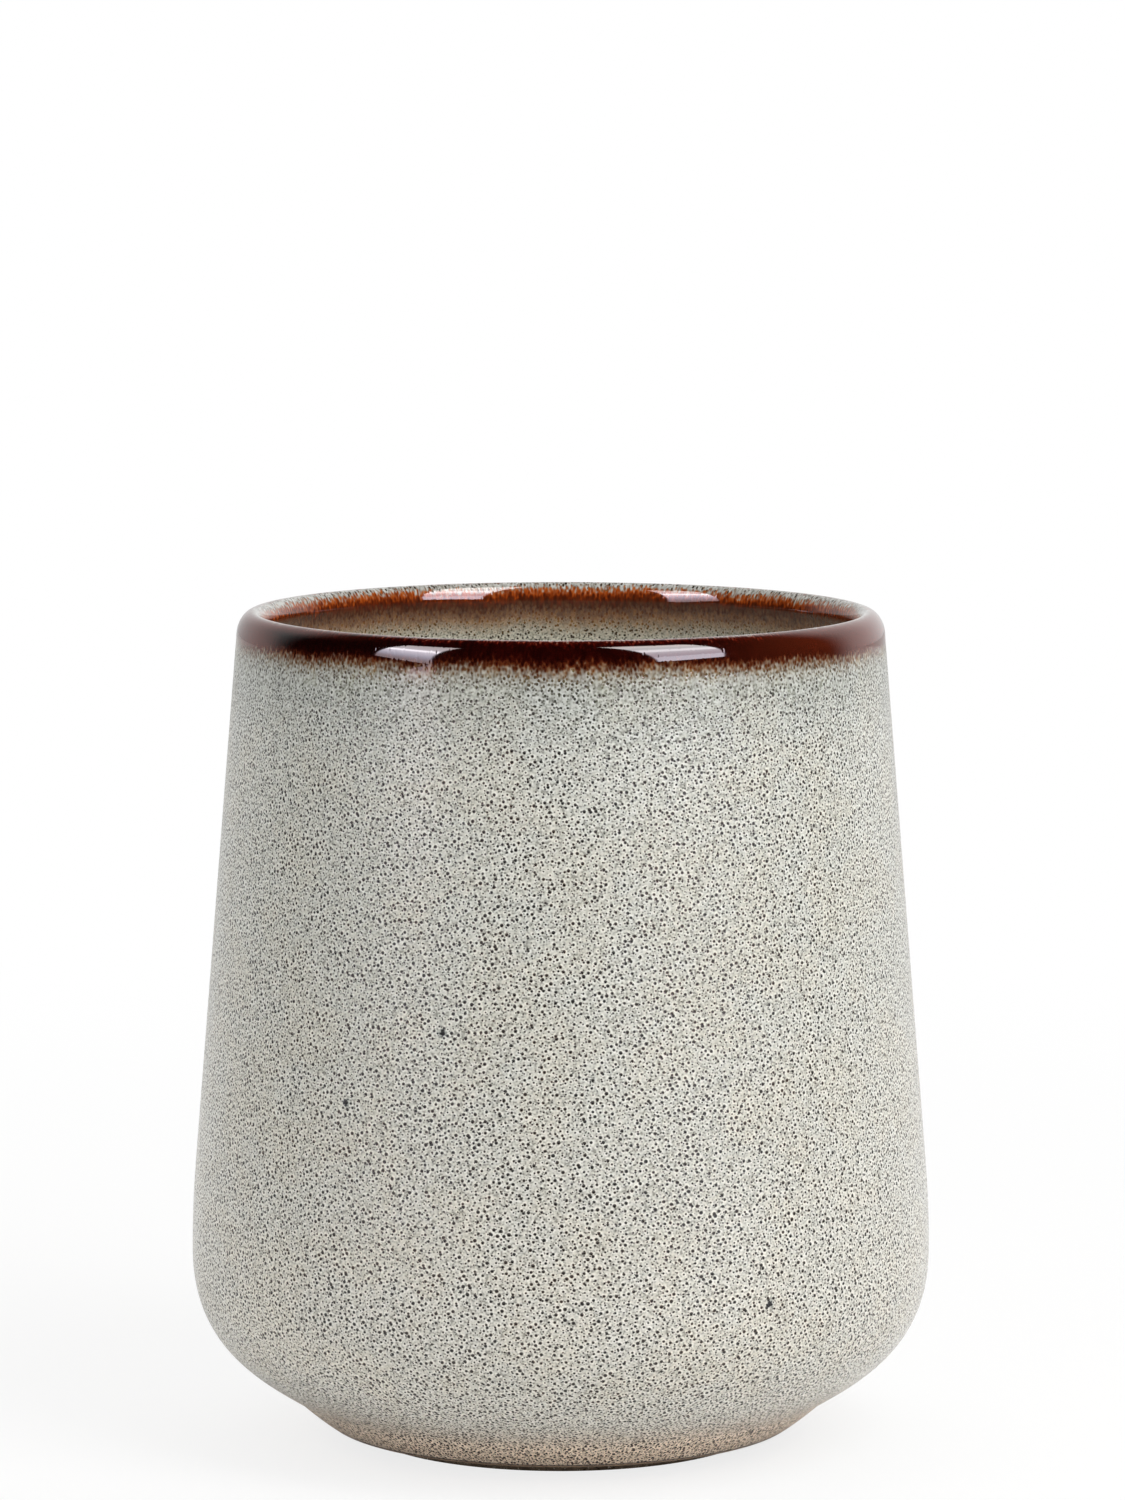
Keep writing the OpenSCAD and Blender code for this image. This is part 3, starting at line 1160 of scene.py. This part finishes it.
def hangBox(name, box, mirrored):
    # a soft box given by its centre and the directions of its two sides; it shines along -Z
    across = Vector(box["across"]).normalized()
    up = Vector(box["up"])
    up = (up - up.dot(across) * across).normalized()
    facing = across.cross(up)
    light = bpy.data.lights.new(name, "AREA")
    light.shape = "RECTANGLE"
    light.size, light.size_y = box["size"]
    light.energy = (box["mirrored"] if mirrored else box["radiance"]) * math.pi * light.size * light.size_y
    if mirrored:
        # made larger than the box, then cut to its outline as it shows in the glaze
        margin = studio["boxMargin"]
        grown = 1 + 2 * margin
        light.size *= grown
        light.size_y *= grown
        light.energy *= grown ** 2
        light.use_nodes = True
        b = Bench(light.node_tree)
        spread = b.add("ShaderNodeNewGeometry", output="Parametric")
        sideways = b.part(spread, "X") * grown - margin
        rise = b.part(spread, "Y") * grown - margin
        lowLeft, highLeft, lowRight, highRight = box["corners"]
        low, high = box["ends"]
        soft = studio["boxSoftness"]
        fromLeft = sideways - (rise * (highLeft - lowLeft) + lowLeft)
        fromRight = (rise * (highRight - lowRight) + lowRight) - sideways
        cut = b.smooth(fromLeft, -soft, soft) * b.smooth(fromRight, -soft, soft)
        cut = cut * b.smooth(rise - low, -soft, soft) * b.smooth(high - rise, -soft, soft)
        colour = b.ramp(rise, box["rows"])
        glow = b.add("ShaderNodeEmission", {}, {"Color": colour, "Strength": cut}, "Emission")
        b.add("ShaderNodeOutputLight", {}, {"Surface": glow})
    lamp = bpy.data.objects.new(name, light)
    lamp.visible_diffuse = not mirrored
    lamp.visible_glossy = mirrored
    turn = Matrix((across, up, facing)).transposed().to_4x4()
    inFront = studio["boxForward"] if mirrored else 0
    lamp.matrix_world = Matrix.Translation(Vector(box["centre"]) - inFront * facing) @ turn
    bpy.context.scene.collection.objects.link(lamp)
    return lamp


def paintWorld():
    # a soft fill, with a white wall behind the cup and a dim room in front of it for the reflections,
    # and plain white where the camera looks past the cup
    world = bpy.data.worlds.new("studioWorld")
    world.use_nodes = True
    bpy.context.scene.world = world
    b = Bench(world.node_tree)
    direction = b.add("ShaderNodeTexCoord", output="Generated")
    rear = b.part(direction, "Y")
    rise = b.part(direction, "Z")
    sideways = b.part(direction, "X")
    wall = b.smooth(rear, *studio["wallEdge"]) * b.smooth(rise, *studio["wallTop"])
    wall = wall * b.smooth(rise, *studio["wallFoot"])
    wall = wall * b.smooth(sideways, *studio["wallAcross"], studio["wallLeft"], studio["wallRight"])
    mirrored = wall * b.smooth(rear, *studio["wallMiddle"], 1.0, studio["wallBehind"]) + studio["roomInFront"]
    glossyRay = b.add("ShaderNodeLightPath", output="Is Glossy Ray")
    seen = b.add("ShaderNodeLightPath", output="Is Camera Ray")
    fill = b.smooth(rear, *studio["fillRange"], studio["fillInFront"], studio["fillBehind"])
    level = fill * (1.0 - glossyRay) + mirrored * glossyRay
    level = level * (1.0 - seen) + seen
    background = b.add("ShaderNodeBackground", {}, {"Color": (1, 1, 1, 1), "Strength": level}, "Background")
    b.add("ShaderNodeOutputWorld", {}, {"Surface": background})


layFloor()
for side in ("left", "right"):
    hangBox(side + "SoftBox", studio[side + "Box"], False)
    hangBox(side + "SoftBoxMirrored", studio[side + "Box"], True)
paintWorld()
print("studio lit")


# The camera, at the photograph's viewpoint

cameraSetup = {
    "place": (0.00021, -0.80739, 0.17906),
    "pitch": 6.6633,              # degrees below level
    "lens": 158.99,
    "sensor": 36.0,
    "nearest": 0.05,
}

lens = bpy.data.cameras.new("studioCamera")
lens.lens = cameraSetup["lens"]
lens.sensor_width = cameraSetup["sensor"]
lens.clip_start = cameraSetup["nearest"]
camera = bpy.data.objects.new("studioCamera", lens)
camera.location = cameraSetup["place"]
camera.rotation_euler = (math.radians(90 - cameraSetup["pitch"]), 0, 0)
bpy.context.scene.collection.objects.link(camera)
bpy.context.scene.camera = camera
bpy.context.scene.view_settings.view_transform = "Standard"
print("camera set")
